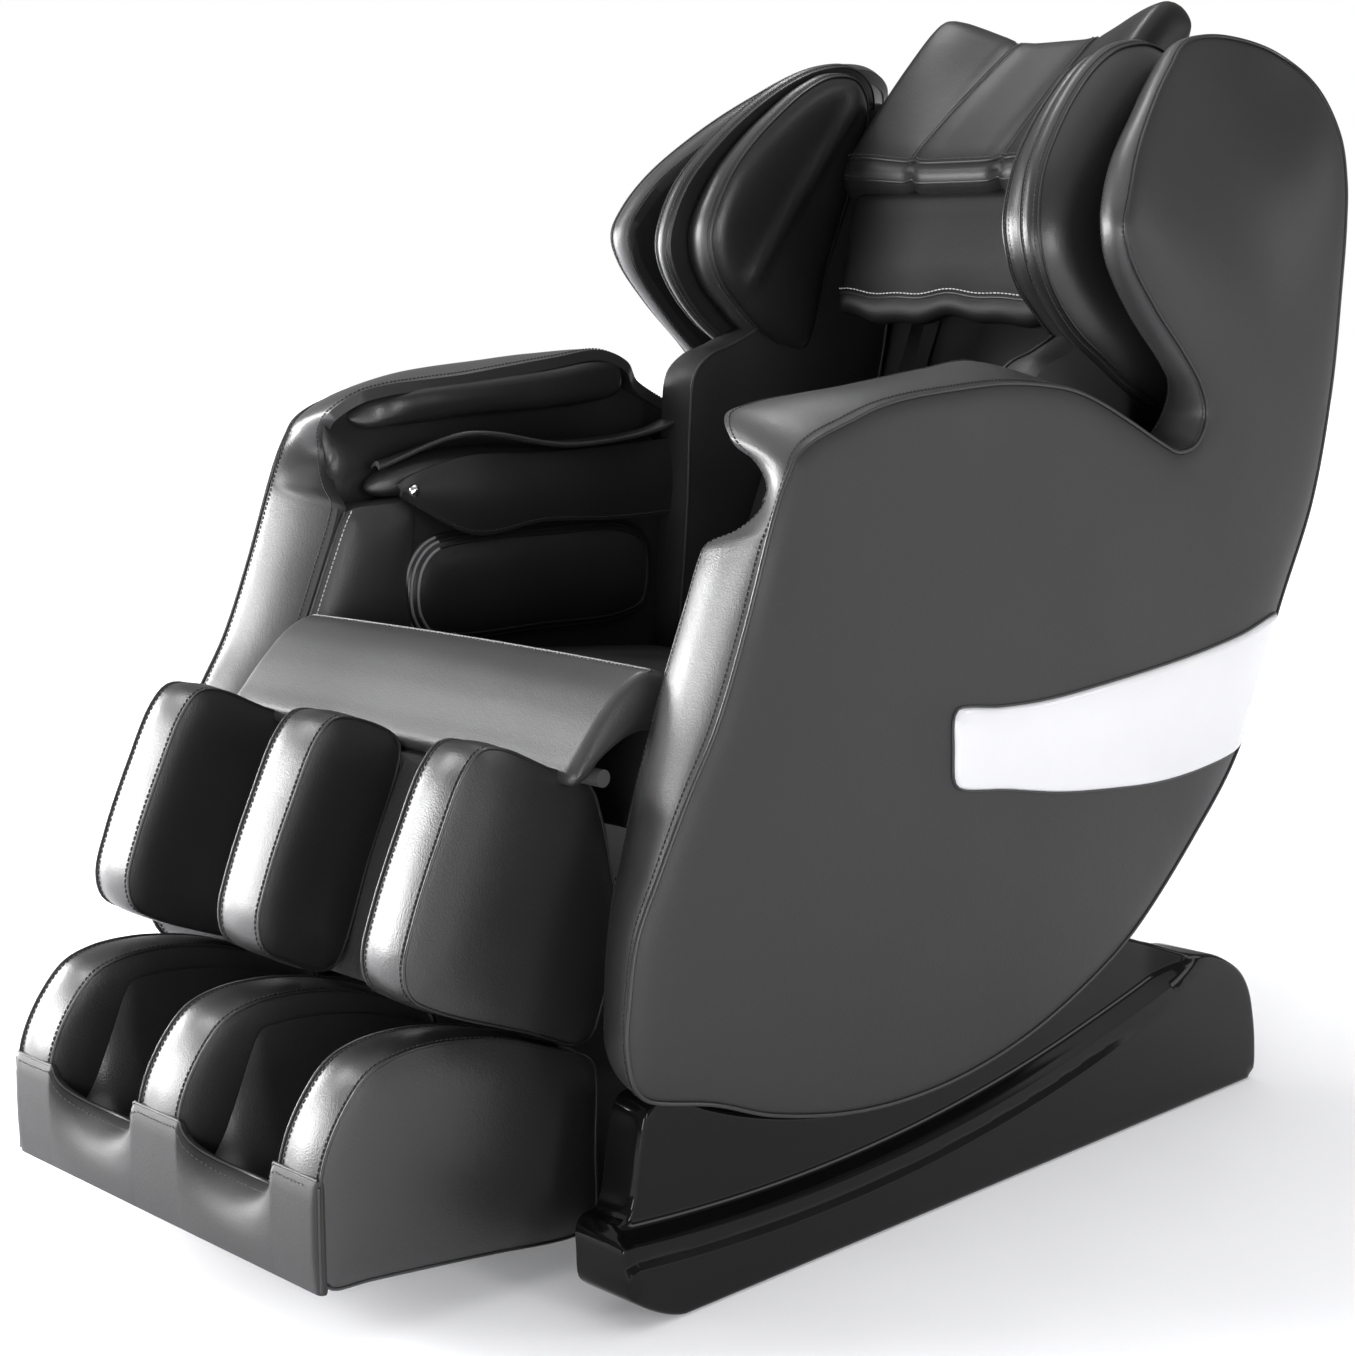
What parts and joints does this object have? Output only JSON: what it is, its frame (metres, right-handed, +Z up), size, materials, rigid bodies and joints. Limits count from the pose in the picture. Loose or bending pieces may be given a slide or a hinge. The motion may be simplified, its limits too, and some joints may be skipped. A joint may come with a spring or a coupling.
{
  "type": "massage recliner",
  "caption": "Full-body zero gravity massage recliner with padded shell sides, shoulder pads, massage carriage, lifting calf rest and sliding foot unit on a rocking base.",
  "frame": {"origin": "on the floor, under the middle of the bounding box", "axes": "+Z up, the sitter faces -Y and the sitter's left hand is at +X"},
  "size_m": [0.749, 1.3095, 1.186],
  "materials": {
    "black_leather": "black faux leather, satin sheen, stitched",
    "panel_leather": "charcoal faux leather, matt, stretched",
    "gloss_plastic": "piano black, high gloss",
    "silver_trim": "silver white gloss lacquer",
    "painted_steel": "dark powder coat",
    "chrome": "bright chrome",
    "black_plastic": "fine texture",
    "black_fabric": "woven lining",
    "rubber": "matt"
  },
  "bodies": {
    "base": {"base_frame": "painted_steel", "base_cover_left": "gloss_plastic", "base_cover_right": "gloss_plastic", "control_box": "black_plastic", "power_inlet": "black_plastic"},
    "wheel_left": {"transport_wheel_left": "rubber"},
    "wheel_right": {"transport_wheel_right": "rubber"},
    "rocker": {"power_switch": "black_plastic"},
    "cradle": {"side_panel_left": "panel_leather", "side_panel_right": "panel_leather", "arm_body_left": "black_leather", "arm_body_right": "black_leather", "arm_top_pad_left": "black_leather", "arm_top_pad_right": "black_leather", "arm_lower_pad_left": "black_leather", "arm_lower_pad_right": "black_leather", "hip_pad_left": "black_leather", "hip_pad_right": "black_leather", "side_trim_left": "silver_trim", "side_trim_right": "silver_trim", "shoulder_pad_outer_left": "black_leather", "shoulder_pad_outer_right": "black_leather", "shoulder_pad_inner_left": "black_leather", "shoulder_pad_inner_right": "black_leather", "back_bolster_left": "black_leather", "back_bolster_right": "black_leather", "seat_pan": "painted_steel", "seat_cushion": "black_leather", "seat_front_flap": "black_leather", "back_plate": "painted_steel", "rear_cover": "black_fabric", "back_lining": "black_fabric", "guide_rail_left": "chrome", "guide_rail_right": "chrome"},
    "headrest": {"head_pillow": "black_leather", "neck_cushion": "black_leather"},
    "carriage": {"massage_carriage": "black_plastic"},
    "kneader_left": {"roller_arm_left": "painted_steel"},
    "kneader_right": {"roller_arm_right": "painted_steel"},
    "upper_massager_left": {"upper_roller_left": "black_plastic"},
    "lower_massager_left": {"lower_roller_left": "black_plastic"},
    "upper_massager_right": {"upper_roller_right": "black_plastic"},
    "lower_massager_right": {"lower_roller_right": "black_plastic"},
    "legrest": {"leg_hinge_shaft": "painted_steel", "calf_back": "black_leather", "calf_wall_left": "black_leather", "calf_wall_right": "black_leather", "calf_wall_center": "black_leather"},
    "foot_unit": {"foot_lobe_left": "black_leather", "foot_lobe_right": "black_leather", "foot_lobe_center": "black_leather", "foot_tray": "black_leather", "foot_slide_bar": "chrome"},
    "sole_left": {"foot_roller_left": "black_plastic"},
    "sole_right": {"foot_roller_right": "black_plastic"},
    "tilt_actuator": {"tilt_cylinder": "painted_steel"},
    "tilt_piston": {"tilt_rod": "chrome"},
    "leg_actuator": {"leg_cylinder": "painted_steel"},
    "leg_piston": {"leg_rod": "chrome"}
  },
  "joints": [
    {"name": "cradle_tilt", "type": "hinge", "parent": "base", "child": "cradle", "pos_m": [0, -0.045, 0.807], "axis": [-1, 0, 0], "range_deg": [0, 25]},
    {"name": "leg_rest_lift", "type": "hinge", "parent": "cradle", "child": "legrest", "pos_m": [0, -0.357, 0.455], "axis": [-1, 0, 0], "range_deg": [0, 70]},
    {"name": "foot_extend", "type": "slide", "parent": "legrest", "child": "foot_unit", "axis": [0, -0.3843, -0.9232], "range_m": [0, 0.1]},
    {"name": "head_flip", "type": "hinge", "parent": "cradle", "child": "headrest", "pos_m": [0, 0.65, 1.15], "axis": [-1, 0, 0], "range_deg": [0, 150]},
    {"name": "carriage_travel", "type": "slide", "parent": "cradle", "child": "carriage", "axis": [0, 0.3987, 0.9171], "range_m": [-0.08, 0.2]},
    {"name": "kneading_left", "type": "hinge", "parent": "carriage", "child": "kneader_left", "pos_m": [0.075, 0.43496, 0.59636], "axis": [1, 0, 0], "range_deg": [-8, 8]},
    {"name": "kneading_right", "type": "hinge", "parent": "carriage", "child": "kneader_right", "pos_m": [-0.075, 0.43496, 0.59636], "axis": [1, 0, 0], "range_deg": [-8, 8]},
    {"name": "upper_roller_spin_left", "type": "hinge", "parent": "kneader_left", "child": "upper_massager_left", "pos_m": [0.0985, 0.42862, 0.66454], "axis": [1, 0, 0], "continuous": true},
    {"name": "lower_roller_spin_left", "type": "hinge", "parent": "kneader_left", "child": "lower_massager_left", "pos_m": [0.0985, 0.38077, 0.55449], "axis": [1, 0, 0], "continuous": true},
    {"name": "upper_roller_spin_right", "type": "hinge", "parent": "kneader_right", "child": "upper_massager_right", "pos_m": [-0.0985, 0.42862, 0.66454], "axis": [1, 0, 0], "continuous": true},
    {"name": "lower_roller_spin_right", "type": "hinge", "parent": "kneader_right", "child": "lower_massager_right", "pos_m": [-0.0985, 0.38077, 0.55449], "axis": [1, 0, 0], "continuous": true},
    {"name": "sole_spin_left", "type": "hinge", "parent": "foot_unit", "child": "sole_left", "pos_m": [0.105, -0.5, 0.095], "axis": [1, 0, 0], "continuous": true},
    {"name": "sole_spin_right", "type": "hinge", "parent": "foot_unit", "child": "sole_right", "pos_m": [-0.105, -0.5, 0.095], "axis": [1, 0, 0], "continuous": true},
    {"name": "wheel_spin_left", "type": "hinge", "parent": "base", "child": "wheel_left", "pos_m": [0.278, 0.47, 0.05], "axis": [1, 0, 0], "continuous": true},
    {"name": "wheel_spin_right", "type": "hinge", "parent": "base", "child": "wheel_right", "pos_m": [-0.278, 0.47, 0.05], "axis": [1, 0, 0], "continuous": true},
    {"name": "power_rock", "type": "hinge", "parent": "base", "child": "rocker", "pos_m": [0.145, 0.4785, 0.0525], "axis": [1, 0, 0], "range_deg": [-8, 8]},
    {"name": "tilt_actuator_swing", "type": "hinge", "parent": "base", "child": "tilt_actuator", "pos_m": [-0.1, 0.36, 0.07], "axis": [-1, 0, 0], "range_deg": [0, 2.5]},
    {"name": "tilt_stroke", "type": "slide", "parent": "tilt_actuator", "child": "tilt_piston", "axis": [0, -0.9927, 0.1209], "range_m": [0, 0.31]},
    {"name": "leg_actuator_swing", "type": "hinge", "parent": "cradle", "child": "leg_actuator", "pos_m": [0.1, 0.12, 0.27], "axis": [-1, 0, 0], "range_deg": [0, 12]},
    {"name": "leg_stroke", "type": "slide", "parent": "leg_actuator", "child": "leg_piston", "axis": [0, -0.9984, 0.0571], "range_m": [0, 0.16]}
  ],
  "couplings": [
    {"joint": "foot_extend", "follows": "leg_rest_lift", "m_per_rad": 0.0815},
    {"joint": "kneading_right", "follows": "kneading_left", "ratio": -1},
    {"joint": "sole_spin_right", "follows": "sole_spin_left", "ratio": 1},
    {"joint": "tilt_actuator_swing", "follows": "cradle_tilt", "ratio": 0.08},
    {"joint": "tilt_stroke", "follows": "cradle_tilt", "m_per_rad": 0.683},
    {"joint": "leg_actuator_swing", "follows": "leg_rest_lift", "ratio": 0.144},
    {"joint": "leg_stroke", "follows": "leg_rest_lift", "m_per_rad": 0.12}
  ]
}
